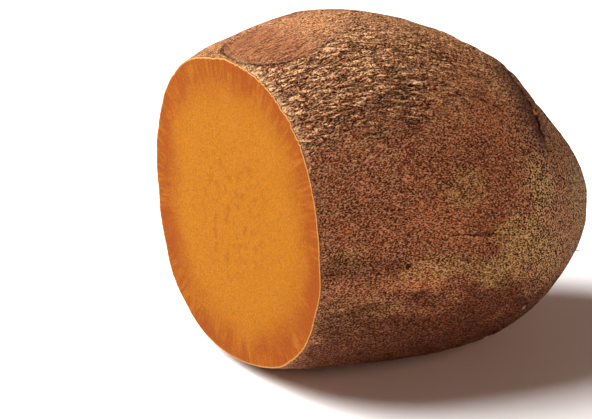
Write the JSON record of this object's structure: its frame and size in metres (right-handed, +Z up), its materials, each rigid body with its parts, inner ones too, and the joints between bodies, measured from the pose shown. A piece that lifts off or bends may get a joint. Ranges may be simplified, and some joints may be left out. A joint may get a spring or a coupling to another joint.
{
  "type": "sweet potato",
  "caption": "Large raw sweet potato lying on its side, with wrinkled brown skin, a tapering tail end and the other end sliced off flat to show orange flesh.",
  "frame": {"origin": "on the surface that the root lies on, below the middle of its bounding box", "axes": "+X from the flat cut face to the tip of the tail, +Y sideways, +Z up"},
  "size_m": [0.099, 0.0854, 0.0843],
  "materials": {
    "skin": "matte"
  },
  "bodies": {
    "root": {"sweet_potato": "skin"}
  },
  "joints": []
}
